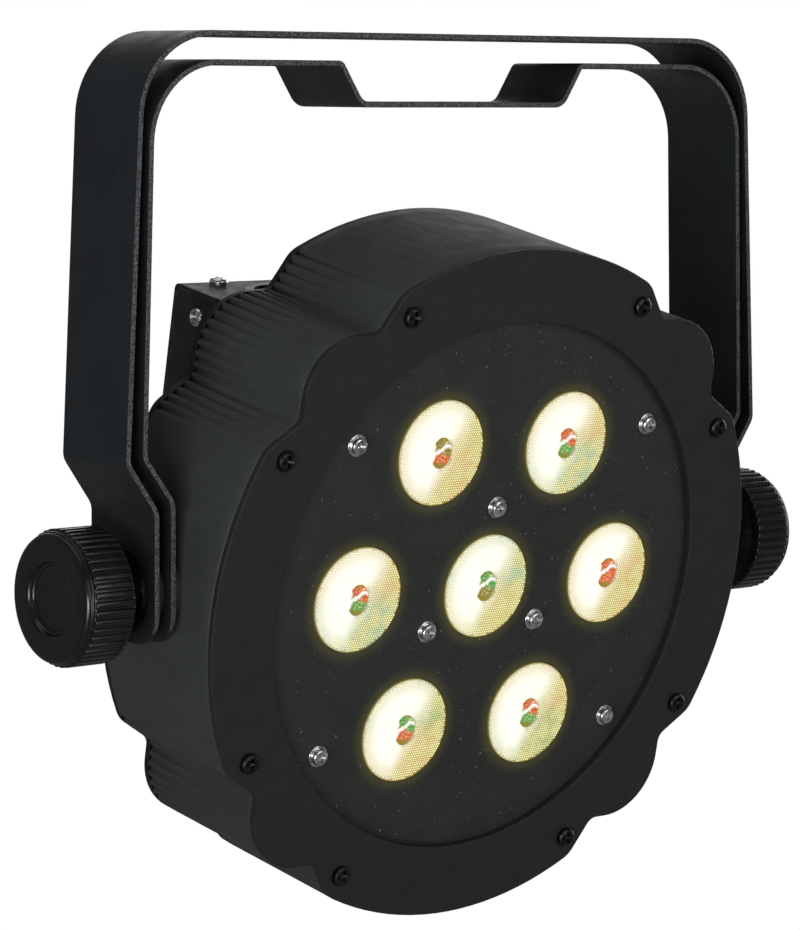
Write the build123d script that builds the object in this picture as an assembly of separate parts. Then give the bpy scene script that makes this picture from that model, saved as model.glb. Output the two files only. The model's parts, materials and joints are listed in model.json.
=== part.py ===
"""Par can light: a lobed stage light head held by two nested hanging brackets.

The row frame has its origin at the clamp bolt hole in the top of the outer
bracket, +Z up and +X to the right as seen from the front.  Light leaves the
head towards -Y.  The head is designed in its own frame, where the front of
the face plate is y = 0, the light axis is the Y axis and y grows towards the
back, and place_head() tilts it into the row frame.  Millimetres throughout.
"""
from build123d import *
import os
from math import atan2, cos, degrees, hypot, radians, sin

# ---------------------------------------------------------------- head ----
HEAD_TILT = 10.7            # nose-down tilt of the head in its stored pose
PIVOT_BACK = 24.4           # tilt axis behind the front of the face plate

LOBE_RADIUS = 94.3          # the four big lobes lie on this circle
BUMP_HALF = 73.2            # half width across the flats of the corner bumps
BUMP_CORNER = 17.0          # corner radius of a bump
FLANK_FOOT = 50.7           # where a lobe's flank meets the bump's flat
FLANK_LEAN = 33.3           # lean of a lobe's flank, degrees
FLANK_TIP_FILLET = 8.0
FLANK_FOOT_FILLET = 3.6

BEZEL_FRONT = -2.76
BEZEL_THICK = 1.8
BEZEL_OPENING = 74.3
CASING_FRONT = BEZEL_FRONT + BEZEL_THICK
CASING_BACK = 44.5
CASING_WALL = 2.6
COVER_THICK = 2.0
COVER_BACK = CASING_BACK + COVER_THICK

RIB_PITCH = 3.0
RIB_SPREAD = 18.5           # half angle of a ribbed corner, from its diagonal
RIB_GROOVE_FRONT = 0.12     # a groove is a long thin cone, deeper at the back
RIB_GROOVE_BACK = 1.25

POST_RADIUS = 4.4           # screw posts inside the casing
POST_RING = 87.6
POST_ANGLE = 17.1           # from each diagonal
SCREW_BORE = 1.5            # M3 holes, threads not cut
SCREW_CLEAR = 1.6
SCREW_SHANK = 1.45

# --------------------------------------------------------------- front ----
FACE_RADIUS = 79.5
FACE_THICK = 1.5
LENS_PITCH = 45.0
LENS_RADIUS = 14.6
LENS_PROUD = 0.7
LENS_HOLE = 14.8
LENS_BACK = 15.0
INNER_SCREW_RING = 22.4
OUTER_SCREW_X = 52.1
OUTER_SCREW_Z = 42.9
BOARD_FRONT = 18.4
BOARD_THICK = 1.6
BOARD_RADIUS = 70.0
SINK_FRONT = BOARD_FRONT + BOARD_THICK
SINK_PLATE = 4.0
SINK_FIN_BACK = 40.0
SINK_FIN_PITCH = 10.0
SINK_POST_X = 45.0
SINK_POST_Z = 38.0
LEAD_Z = -28.0              # the lead from the box to the diode board
LEAD_RADIUS = 1.8

# ------------------------------------------------------ electronics box ----
BOX_BACK = 85.0
BOX_HALF_X = 52.0
BOX_TOP = 66.4
BOX_BOTTOM = -60.0
SHEET = 1.2
SHEET_GAP = 0.1
TAB_FRONT = 77.4            # screw tabs start behind the sockets
FIXING_X = 30.0             # screws that hold the box to the rear cover
FIXING_Z = 50.0
SIDE_SCREW_Y = 72.7
SIDE_SCREW_INSET = 7.0      # from the top and the bottom of the box
TAB_SCREW_X = 40.0
TAB_SCREW_Y = 81.0
SOCKET_X = 27.0
SOCKET_Y = 66.5
SOCKET_RADIUS = 11.8
LEVER_Y = 51.0              # release lever of the signal outlet
DISPLAY_Z = 24.0
BUTTON_Z = 0.0
BUTTON_PITCH = 16.0
BUTTON_RADIUS = 3.8
BUTTON_NAMES = ("menu", "down", "up", "enter")
CONTROL_FRONT = 70.0
SUPPLY_FRONT = 50.0

# ------------------------------------------------------------- brackets ----
STRIP_WIDTH = 28.2
STRIP_THICK = 1.5
BRACKET_RISE = 144.6        # tilt axis to the top of the outer bracket
HANGER_BORE = 5.25          # clearance for an M10 clamp bolt
OUTER_FOOT_X = 103.8
OUTER_WIDE_X = 112.8
OUTER_TOP_X = 107.6
INNER_TOP_Z = 137.2
INNER_FOOT_X = 98.6
INNER_WIDE_X = 107.5
INNER_TOP_X = 104.7
RECESS_TOP_X = 42.4
RECESS_FLOOR_X = 35.4
RECESS_DROP = 10.8
ARM_END_Z = -13.05
JOG_RADIUS = 5.0
ARM_END_RADIUS = 8.0

# ---------------------------------------------------------------- knobs ----
STUD_RADIUS = 4.0           # M8
STUD_CLEAR = 4.08
INSERT_RADIUS = 6.0
BOSS_FACE_X = 96.9
STUD_INNER_X = 84.5
STUD_OUTER_X = 118.0
WASHER_RADIUS = 11.0
KNOB_HUB_X = 105.5
KNOB_RIM_X = 112.3
KNOB_RIM_END_X = 124.4
KNOB_FACE_X = 126.8
KNOB_RADIUS = 17.93
KNOB_CORE = 17.0
KNOB_FLUTES = 46
KNOB_DISH_RADIUS = 9.66

UP = (Align.CENTER, Align.CENTER, Align.MIN)
DOWN = (Align.CENTER, Align.CENTER, Align.MAX)
TO_FRONT = Rot(X=90)        # turns a piece built along +Z to face -Y
TO_BACK = Rot(X=-90)
TO_BOTTOM = Rot(X=180)
SIDES = {"left": -1, "right": 1}


# -------------------------------------------------------------- helpers ----
def place_head(shape):
    """Move a shape from the head's own frame to the row frame."""
    return Pos(0, 0, -BRACKET_RISE) * Rot(X=HEAD_TILT) * Pos(0, -PIVOT_BACK, 0) * shape


def place_pivot(shape):
    """Move a shape drawn around the tilt axis to the row frame."""
    return Pos(0, 0, -BRACKET_RISE) * shape


def slab(sketch, front, back):
    """Extrude a sketch drawn in X and Z from y = front to y = back."""
    return extrude(Plane.XZ.offset(-front) * sketch, amount=-(back - front))


def rod_y(x, z, radius, front, back):
    return Pos(x, front, z) * TO_BACK * Cylinder(radius, back - front, align=UP)


def block(x_range, y_range, z_range):
    """An axis-aligned box between two values on each axis."""
    size = [high - low for low, high in (x_range, y_range, z_range)]
    middle = [(high + low) / 2 for low, high in (x_range, y_range, z_range)]
    return Pos(*middle) * Box(*size)


def group(shapes):
    """Several separate solids as one node."""
    return Compound(children=[solid for shape in shapes for solid in shape.solids()])


def corners(x, z):
    return [(sx * x, sz * z) for sx in (-1, 1) for sz in (-1, 1)]


def pan_screw(head_radius, head_height, shank_length, washer_radius=0.0, washer_height=0.7):
    """Cross-recess screw along +Z: its seat is z = 0 and its shank goes down."""
    head = Cylinder(head_radius, head_height, align=UP)
    rim = head.edges().filter_by(GeomType.CIRCLE).sort_by(Axis.Z)[-1]
    head = fillet(rim, head_height * 0.55)
    slot_length = head_radius * 1.3
    slot_width = head_radius * 0.32
    cross = Box(slot_length, slot_width, head_height) + Box(slot_width, slot_length, head_height)
    taper = Cone(slot_length * 0.16, slot_length * 0.62, head_height * 0.75, align=UP)
    head -= Pos(0, 0, head_height * 0.35) * (Pos(0, 0, head_height / 2) * cross & taper)
    if washer_radius:
        washer = Cylinder(washer_radius, washer_height, align=UP)
        edge = washer.edges().filter_by(GeomType.CIRCLE).sort_by(Axis.Z)[-1]
        head = fillet(edge, washer_height * 0.5) + Pos(0, 0, washer_height) * head
    return head + Cylinder(SCREW_SHANK, shank_length, align=DOWN)


def head_outline():
    """Four lobes on one circle, joined to a rounded square whose corners show between them."""
    spread = LOBE_RADIUS - BUMP_HALF
    lean = sin(radians(FLANK_LEAN)) / cos(radians(FLANK_LEAN))
    tip = FLANK_FOOT - spread * lean
    root = FLANK_FOOT + BUMP_HALF * lean
    wedge = Polygon((-root, 0), (root, 0), (tip, LOBE_RADIUS), (-tip, LOBE_RADIUS), align=None)
    cross = wedge + Rot(Z=90) * wedge + Rot(Z=180) * wedge + Rot(Z=270) * wedge
    lobes = Circle(LOBE_RADIUS) & cross
    outline = lobes + RectangleRounded(2 * BUMP_HALF, 2 * BUMP_HALF, BUMP_CORNER)
    tips = [v for v in outline.vertices() if hypot(v.X, v.Y) > LOBE_RADIUS - 0.5]
    outline = fillet(tips, FLANK_TIP_FILLET)
    foot = hypot(FLANK_FOOT, BUMP_HALF)
    feet = [v for v in outline.vertices() if abs(hypot(v.X, v.Y) - foot) < 0.2]
    return fillet(feet, FLANK_FOOT_FILLET)


def post_places():
    """The eight screw posts, in pairs beside each diagonal."""
    places = []
    for diagonal in range(45, 360, 90):
        for side in (-POST_ANGLE, POST_ANGLE):
            angle = radians(diagonal + side)
            places.append((POST_RING * cos(angle), POST_RING * sin(angle)))
    return places


def lens_places():
    ring = [radians(60 * k) for k in range(6)]
    return [(0.0, 0.0)] + [(LENS_PITCH * cos(a), LENS_PITCH * sin(a)) for a in ring]


def inner_screw_places():
    ring = [radians(a) for a in (90, 210, 330)]
    return [(INNER_SCREW_RING * cos(a), INNER_SCREW_RING * sin(a)) for a in ring]


def face_screw_places():
    return inner_screw_places() + corners(OUTER_SCREW_X, OUTER_SCREW_Z)


def bores(shape, places, radius, front, back):
    """Drill holes along Y at each place."""
    for x, z in places:
        shape -= rod_y(x, z, radius, front - 1, back + 1)
    return shape


# ---------------------------------------------------------- head shells ----
def rib_grooves(outline):
    """Long cones on the outline of the four corners, 3 mm apart."""
    wire = outline.wire()
    count = round(wire.length / RIB_PITCH)
    depth = CASING_BACK - CASING_FRONT
    grooves = []
    for k in range(count):
        point = wire.position_at((k + 0.5) / count)
        from_diagonal = degrees(atan2(point.Y, point.X)) % 90 - 45
        if abs(from_diagonal) < RIB_SPREAD:
            cone = Cone(RIB_GROOVE_FRONT, RIB_GROOVE_BACK, depth, align=UP)
            grooves.append(Pos(point.X, CASING_FRONT, point.Y) * TO_BACK * cone)
    return grooves


def make_casing(outline):
    inner = offset(outline, -CASING_WALL)
    casing = slab(outline - inner, CASING_FRONT, CASING_BACK)
    for x, z in post_places():
        casing += rod_y(x, z, POST_RADIUS, CASING_FRONT, CASING_BACK)
    for side in SIDES.values():
        axis = Pos(0, PIVOT_BACK, 0) * Rot(Y=90 * side)
        casing += axis * Pos(0, 0, LOBE_RADIUS - 6) * Cylinder(12.0, BOSS_FACE_X - LOBE_RADIUS + 6, align=UP)
        casing += axis * Pos(0, 0, STUD_INNER_X) * Cylinder(9.5, LOBE_RADIUS - 6 - STUD_INNER_X, align=UP)
        casing -= axis * Pos(0, 0, STUD_INNER_X - 1) * Cylinder(INSERT_RADIUS, 20, align=UP)
    casing = bores(casing, post_places(), SCREW_BORE, CASING_FRONT, CASING_BACK)
    return casing - rib_grooves(outline)


def make_bezel(outline):
    bezel = slab(outline - Circle(BEZEL_OPENING), BEZEL_FRONT, CASING_FRONT)
    front_edges = bezel.edges().group_by(Axis.Y)[0]
    bezel = chamfer(front_edges, 0.25)
    return bores(bezel, post_places(), SCREW_CLEAR, BEZEL_FRONT, CASING_FRONT)


def make_rear_cover(outline):
    cover = slab(outline, CASING_BACK, COVER_BACK)
    cover = chamfer(cover.edges().group_by(Axis.Y)[-1], 0.3)
    cover = bores(cover, post_places(), SCREW_CLEAR, CASING_BACK, COVER_BACK)
    cover = bores(cover, corners(SINK_POST_X, SINK_POST_Z), SCREW_CLEAR, CASING_BACK, COVER_BACK)
    cover = bores(cover, corners(FIXING_X, FIXING_Z), SCREW_CLEAR, CASING_BACK, COVER_BACK)
    cover = bores(cover, [(-6.5, 84), (6.5, 84)], SCREW_CLEAR, CASING_BACK, COVER_BACK)
    cover = bores(cover, [(0, LEAD_Z)], 4.5, CASING_BACK, COVER_BACK)
    for side in SIDES.values():
        for row in range(5):
            slot = Pos(side * 70, (row - 2) * 14) * SlotOverall(20, 4)
            cover -= slab(slot, CASING_BACK - 1, COVER_BACK + 1)
    return cover


# ------------------------------------------------- face plate and optics ----
def make_face_plate():
    plate = slab(Circle(FACE_RADIUS), 0, FACE_THICK)
    plate = bores(plate, lens_places(), LENS_HOLE, 0, FACE_THICK)
    return bores(plate, face_screw_places(), SCREW_CLEAR, 0, FACE_THICK)


def make_lens():
    """Collimating lens along +Z from its front disc: light leaves at z = 0."""
    profile = Polyline(
        (0, 4.2), (4.3, 3.6), (4.7, 0), (LENS_RADIUS - 0.6, 0), (LENS_RADIUS, 0.5),
        (LENS_RADIUS, 2.3), (14.0, 2.3), (6.0, LENS_BACK + LENS_PROUD),
        (3.6, LENS_BACK + LENS_PROUD), (3.6, 10.6), (0, 9.6), (0, 4.2))
    return revolve(Plane.XZ * make_face(profile), Axis.Z)


def make_lens_holder():
    """Cone-shaped cup that stands on the diode board and holds a lens."""
    top = FACE_THICK + 0.1
    profile = Polyline(
        (14.9, top), (16.4, top), (16.4, 4.0), (9.5, 15.6), (9.5, BOARD_FRONT),
        (6.2, BOARD_FRONT), (6.2, 15.4), (14.9, 2.6), (14.9, top))
    return revolve(Plane.XZ * make_face(profile), Axis.Z)


def make_diode():
    """Square package with a clear dome, along +Z towards the board."""
    package = Pos(0, 0, BOARD_FRONT - 1.8) * Box(7, 7, 1.8, align=UP)
    dome = Pos(0, 0, BOARD_FRONT - 1.8) * Sphere(2.7)
    return package + (dome & Pos(0, 0, BOARD_FRONT - 0.5) * Box(8, 8, 8, align=DOWN))


def make_heat_sink():
    sink = rod_y(0, 0, BOARD_RADIUS, SINK_FRONT, SINK_FRONT + SINK_PLATE)
    for k in range(12):
        x = (k - 5.5) * SINK_FIN_PITCH
        reach = (66 ** 2 - x ** 2) ** 0.5
        sink += block((x - 1, x + 1), (SINK_FRONT + SINK_PLATE, SINK_FIN_BACK), (-reach, reach))
    for x, z in corners(SINK_POST_X, SINK_POST_Z):
        sink += rod_y(x, z, 4.5, SINK_FRONT + SINK_PLATE, CASING_BACK)
        sink -= rod_y(x, z, SCREW_BORE, CASING_BACK - 10, CASING_BACK)
    return sink - rod_y(0, LEAD_Z, 3.0, SINK_FRONT - 1, SINK_FIN_BACK)


# ------------------------------------------------------ electronics box ----
def make_box_frame():
    """Front plate and two sides, bent from one sheet, with screw tabs."""
    low = BOX_BOTTOM + SHEET + SHEET_GAP
    high = BOX_TOP - SHEET - SHEET_GAP
    frame = block((-BOX_HALF_X, BOX_HALF_X), (COVER_BACK, COVER_BACK + SHEET), (low, high))
    for side in SIDES.values():
        wall = sorted((side * (BOX_HALF_X - SHEET), side * BOX_HALF_X))
        frame += block(wall, (COVER_BACK, BOX_BACK - SHEET - SHEET_GAP), (low, high))
        tab = sorted((side * 36.5, side * BOX_HALF_X))
        for z in ((high - SHEET, high), (low, low + SHEET)):
            frame += block(tab, (TAB_FRONT, BOX_BACK - SHEET - SHEET_GAP), z)
            frame -= Pos(side * TAB_SCREW_X, TAB_SCREW_Y, sum(z) / 2) * Cylinder(SCREW_BORE, 2 * SHEET)
        for z in side_screw_heights():
            frame -= Pos(side * BOX_HALF_X, SIDE_SCREW_Y, z) * Rot(Y=90) * Cylinder(SCREW_CLEAR, 4 * SHEET)
    frame = bores(frame, corners(FIXING_X, FIXING_Z), SCREW_CLEAR, COVER_BACK, COVER_BACK + SHEET)
    frame = bores(frame, corners(SINK_POST_X, SINK_POST_Z), 3.6, COVER_BACK, COVER_BACK + SHEET)
    return bores(frame, [(0, LEAD_Z)], 4.5, COVER_BACK, COVER_BACK + SHEET)


def make_box_cover():
    """Top, back and bottom of the box, bent from one sheet, with side flanges."""
    front = COVER_BACK + 0.2
    cover = block((-BOX_HALF_X, BOX_HALF_X), (front, BOX_BACK), (BOX_BOTTOM, BOX_TOP))
    bends = [e for e in cover.edges().filter_by(Axis.X) if e.center().Y > BOX_BACK - 1]
    cover = fillet(bends, 1.8)
    inside = (front - 1, BOX_BACK - SHEET)
    cover -= block((-BOX_HALF_X - 1, BOX_HALF_X + 1), inside, (BOX_BOTTOM + SHEET, BOX_TOP - SHEET))
    for side in SIDES.values():
        outer = BOX_HALF_X - SHEET - SHEET_GAP
        flange = sorted((side * (outer - SHEET), side * outer))
        cover += block(flange, (66, BOX_BACK - SHEET), (BOX_BOTTOM + 3.2, BOX_TOP - 3.2))
        for z in side_screw_heights():
            cover -= Pos(side * outer, SIDE_SCREW_Y, z) * Rot(Y=90) * Cylinder(SCREW_BORE, 4 * SHEET)
        for z in (BOX_BOTTOM, BOX_TOP):
            cover -= Pos(side * TAB_SCREW_X, TAB_SCREW_Y, z) * Cylinder(SCREW_CLEAR, 4 * SHEET)
        cover -= Pos(side * SOCKET_X, SOCKET_Y, BOX_TOP) * Cylinder(SOCKET_RADIUS + 0.1, 4)
        cover -= Pos(side * SOCKET_X, SOCKET_Y, BOX_BOTTOM) * Box(28.4, 21.4, 4)
    cover -= Pos(SOCKET_X, LEVER_Y, BOX_TOP) * Box(8.2, 5.2, 4)
    cover -= Pos(0, SOCKET_Y, BOX_BOTTOM) * Cylinder(6.6, 4)
    cover -= Pos(0, BOX_BACK, DISPLAY_Z) * Box(46.2, 4, 20.2)
    for x in button_places():
        cover -= rod_y(x, BUTTON_Z, BUTTON_RADIUS + 0.35, BOX_BACK - 2, BOX_BACK + 1)
    return cover - rod_y(38, BUTTON_Z, 1.0, BOX_BACK - 2, BOX_BACK + 1)


def side_screw_heights():
    return BOX_BOTTOM + SIDE_SCREW_INSET, BOX_TOP - SIDE_SCREW_INSET


def button_places():
    return [(k - 1.5) * BUTTON_PITCH for k in range(4)]


def make_signal_shell():
    """Round connector body: its rim stands 0.6 proud of the sheet at z = 0."""
    body = Pos(0, 0, 0.6) * Cylinder(SOCKET_RADIUS, 27, align=DOWN)
    body = chamfer(body.edges().filter_by(GeomType.CIRCLE).sort_by(Axis.Z)[-1], 0.3)
    return body + Pos(0, 0, -SHEET - 0.1) * Cylinder(13.2, 1.6, align=DOWN)


def signal_pin_places():
    return [(4.7 * cos(radians(a)), 4.7 * sin(radians(a))) for a in (0, 90, 180)]


def make_signal_inlet():
    shell = make_signal_shell() - Pos(0, 0, 1) * Cylinder(9.4, 15, align=DOWN)
    for x, y in signal_pin_places():
        shell -= Pos(x, y, -13) * Cylinder(1.2, 10, align=DOWN)
    return shell


def make_signal_pins():
    pins = []
    for x, y in signal_pin_places():
        pin = Pos(x, y, -2) * Cylinder(1.2, 18, align=DOWN)
        pins.append(fillet(pin.edges().filter_by(GeomType.CIRCLE).sort_by(Axis.Z)[-1], 0.8))
    return group(pins)


def make_signal_outlet():
    ring = Cylinder(9.4, 15, align=DOWN) - Cylinder(7.4, 15, align=DOWN)
    shell = make_signal_shell() - Pos(0, 0, 1) * ring
    for x, y in signal_pin_places():
        shell -= Pos(x, y, 1) * Cylinder(1.4, 13, align=DOWN)
    guide = Pos(0, LEVER_Y - SOCKET_Y + 0.6, -2.9) * Box(12, 7.4, 7, align=DOWN)
    slot = Pos(0, LEVER_Y - SOCKET_Y, 0) * Box(8.0, 5.0, 16, align=DOWN)
    return shell + guide - slot


def make_release_lever():
    lever = Pos(0, LEVER_Y - SOCKET_Y, 1.4) * Box(7.4, 4.4, 9.5, align=DOWN)
    return fillet(lever.edges().group_by(Axis.Z)[-1], 0.6)


def power_body():
    """Shared outline of the power sockets: a bezel outside the sheet and a body inside."""
    flange = extrude(RectangleRounded(32, 23, 2), 1.8)
    flange = chamfer(flange.edges().group_by(Axis.Z)[-1], 0.5)
    body = extrude(RectangleRounded(28, 21, 2), -19)
    return flange + body


def make_power_inlet():
    outline = Rectangle(24, 16.4)
    keyed = chamfer(outline.vertices().group_by(Axis.Y)[-1], 5)
    body = power_body() - Pos(0, 0, -13) * extrude(keyed, 16)
    for x, y in power_pin_places():
        body -= Pos(x, y, -13) * Box(2, 4, 3, align=DOWN)
    return body


def power_pin_places():
    return [(-7, -2), (7, -2), (0, 2)]


def make_power_pins():
    return group([Pos(x, y, -16) * Box(2, 4, 14, align=UP) for x, y in power_pin_places()])


def make_power_outlet():
    body = power_body()
    ring = Rectangle(26, 18.4) - Rectangle(23.6, 16)
    body -= Pos(0, 0, -10) * extrude(ring, 13)
    for x, y in power_pin_places():
        body -= Pos(x, y, -11) * Box(2.6, 5, 14, align=UP)
    return body


def make_fuse_holder():
    holder = Cylinder(8.2, 1.8, align=UP) + Cylinder(6.4, 20, align=DOWN)
    return holder - Pos(0, 0, -17) * Cylinder(5.3, 20, align=UP)


def make_fuse_cap():
    cap = Pos(0, 0, -6) * Cylinder(5.0, 10.4, align=UP)
    cap = fillet(cap.edges().filter_by(GeomType.CIRCLE).sort_by(Axis.Z)[-1], 0.8)
    cap -= Pos(0, 0, 3.4) * Box(1.4, 8, 2, align=UP)
    return cap - Pos(0, 0, -7) * Cylinder(2.55, 5, align=UP)


def make_control_board():
    board = block((-42, 42), (CONTROL_FRONT, CONTROL_FRONT + 1.6), (-14, 38))
    return board - [rod_y(x, z, SCREW_BORE, 69, 73) for x, z in ((-38, -10), (38, -10), (-38, 34), (38, 34))]


def make_switches():
    pieces = []
    for x in button_places():
        base = block((x - 3, x + 3), (CONTROL_FRONT + 1.6, CONTROL_FRONT + 6.6), (BUTTON_Z - 3, BUTTON_Z + 3))
        pieces.append(base + rod_y(x, BUTTON_Z, 1.7, CONTROL_FRONT + 6.6, CONTROL_FRONT + 7.4))
    return group(pieces)


def make_button():
    """Cap, retaining flange and stem along +Z; the panel's outer face is z = 0."""
    cap = Pos(0, 0, 2.0) * Cylinder(BUTTON_RADIUS, 3.4, align=DOWN)
    cap = fillet(cap.edges().filter_by(GeomType.CIRCLE).sort_by(Axis.Z)[-1], 0.7)
    flange = Pos(0, 0, -SHEET - 0.2) * Cylinder(BUTTON_RADIUS + 1, 1, align=DOWN)
    return cap + flange + Pos(0, 0, -2) * Cylinder(2, 4.7, align=DOWN)


def make_supply_board():
    """Power supply board with its transformer, capacitors and cooling plate."""
    back = SUPPLY_FRONT + 1.6
    board = block((-44, 44), (SUPPLY_FRONT, back), (-38, 34))
    board += block((-14, 10), (back, back + 15), (-8, 14))
    board += block((20, 23), (back, back + 14), (-30, 20))
    for x, z, radius in ((-32, -24, 6.0), (-32, 0, 6.0), (34, 18, 5.0), (34, -14, 4.0), (-32, 22, 4.0)):
        board += rod_y(x, z, radius, back, back + 14)
    return board


def make_standoffs():
    posts = [rod_y(x, z, 2.5, COVER_BACK + SHEET, SUPPLY_FRONT) for x, z in corners(40, 30)]
    for x, z in ((-38, -10), (38, -10), (-38, 34), (38, 34)):
        posts.append(rod_y(x, z, 2.5, CONTROL_FRONT + 1.6, BOX_BACK - SHEET))
    return group(posts)


def make_grommet():
    sleeve = rod_y(0, LEAD_Z, 4.4, CASING_BACK - 1.2, COVER_BACK + SHEET + 1.2)
    for front in (CASING_BACK - 1.2, COVER_BACK + SHEET + 0.1):
        sleeve += rod_y(0, LEAD_Z, 6.4, front, front + 1.1)
    return sleeve - rod_y(0, LEAD_Z, LEAD_RADIUS + 0.1, 40, 52)


def make_safety_eye():
    """Angle plate on the rear cover with an eye for a safety wire."""
    foot = block((-10, 10), (COVER_BACK, COVER_BACK + 2), (78, 90))
    ear = block((-1.25, 1.25), (COVER_BACK, 62), (78, 90))
    ear = fillet(ear.edges().filter_by(Axis.X).group_by(Axis.Y)[-1], 5.9)
    ear -= Pos(0, 55.6, 84) * Rot(Y=90) * Cylinder(4.0, 10)
    return bores(foot + ear, [(-6.5, 84), (6.5, 84)], SCREW_CLEAR, COVER_BACK, COVER_BACK + 2)


# ------------------------------------------------------------- brackets ----
def bent_strip(half_path, radii):
    """Strip bent along a path of its outer face, mirrored about X = 0."""
    points = [(-x, z) for x, z in half_path] + [(x, z) for x, z in reversed(half_path)]
    path = FilletPolyline(*points, radius=radii + radii[::-1])
    section = make_face(offset(path, STRIP_THICK, side=Side.RIGHT).edges())
    strip = extrude(Plane.XZ.offset(-STRIP_WIDTH / 2) * section, STRIP_WIDTH)
    ends = strip.edges().filter_by(Axis.X).group_by(Axis.Z)[0]
    strip = fillet(ends, ARM_END_RADIUS)
    return strip - Rot(Y=90) * Cylinder(STUD_CLEAR, 2 * OUTER_WIDE_X + 10)


def make_outer_bracket():
    half_path = [(OUTER_FOOT_X, ARM_END_Z), (OUTER_FOOT_X, 21.5), (OUTER_WIDE_X, 34.3),
                 (OUTER_TOP_X, BRACKET_RISE)]
    strip = bent_strip(half_path, [JOG_RADIUS, JOG_RADIUS, 23.0])
    return strip - Pos(0, 0, BRACKET_RISE) * Cylinder(HANGER_BORE, 10)


def make_inner_bracket():
    half_path = [(INNER_FOOT_X, ARM_END_Z), (INNER_FOOT_X, 23.5), (INNER_WIDE_X, 35.6),
                 (INNER_TOP_X, INNER_TOP_Z), (RECESS_TOP_X, INNER_TOP_Z),
                 (RECESS_FLOOR_X, INNER_TOP_Z - RECESS_DROP)]
    strip = bent_strip(half_path, [JOG_RADIUS, JOG_RADIUS, 22.0, 2.5, 4.0])
    return strip - Pos(0, 0, INNER_TOP_Z - RECESS_DROP) * Cylinder(HANGER_BORE, 10)


# ---------------------------------------------------------------- knobs ----
def along_x(side):
    """Turns a piece built along +Z so that +Z points out to one side."""
    return Rot(Y=90 * side)


def make_knob():
    """Hand knob along +Z, which is the distance from the middle of the head."""
    profile = Polyline(
        (0, KNOB_HUB_X), (9.5, KNOB_HUB_X), (10.5, 108.5), (15.6, KNOB_RIM_X),
        (KNOB_CORE, KNOB_RIM_X), (KNOB_CORE, KNOB_RIM_END_X), (17.2, 124.6), (17.1, 125.2),
        (16.6, 125.8), (16.2, 126.2), (15.96, KNOB_FACE_X), (10.2, KNOB_FACE_X),
        (KNOB_DISH_RADIUS, 126.3), (9.0, 125.2), (0, 125.0), (0, KNOB_HUB_X))
    knob = revolve(Plane.XZ * make_face(profile), Axis.Z)
    rim = Circle(KNOB_RADIUS) - Circle(KNOB_CORE - 1)
    rim -= PolarLocations(KNOB_RADIUS, KNOB_FLUTES) * Rectangle(1.3, 0.95)
    knob += Pos(0, 0, KNOB_RIM_X) * extrude(rim, KNOB_RIM_END_X - KNOB_RIM_X)
    return knob - Pos(0, 0, KNOB_HUB_X - 1) * Cylinder(STUD_RADIUS, STUD_OUTER_X - KNOB_HUB_X + 1, align=UP)


def disc(inner_radius, outer_radius, start, end):
    ring = Circle(outer_radius) - Circle(inner_radius)
    return Pos(0, 0, start) * extrude(ring, end - start)


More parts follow.
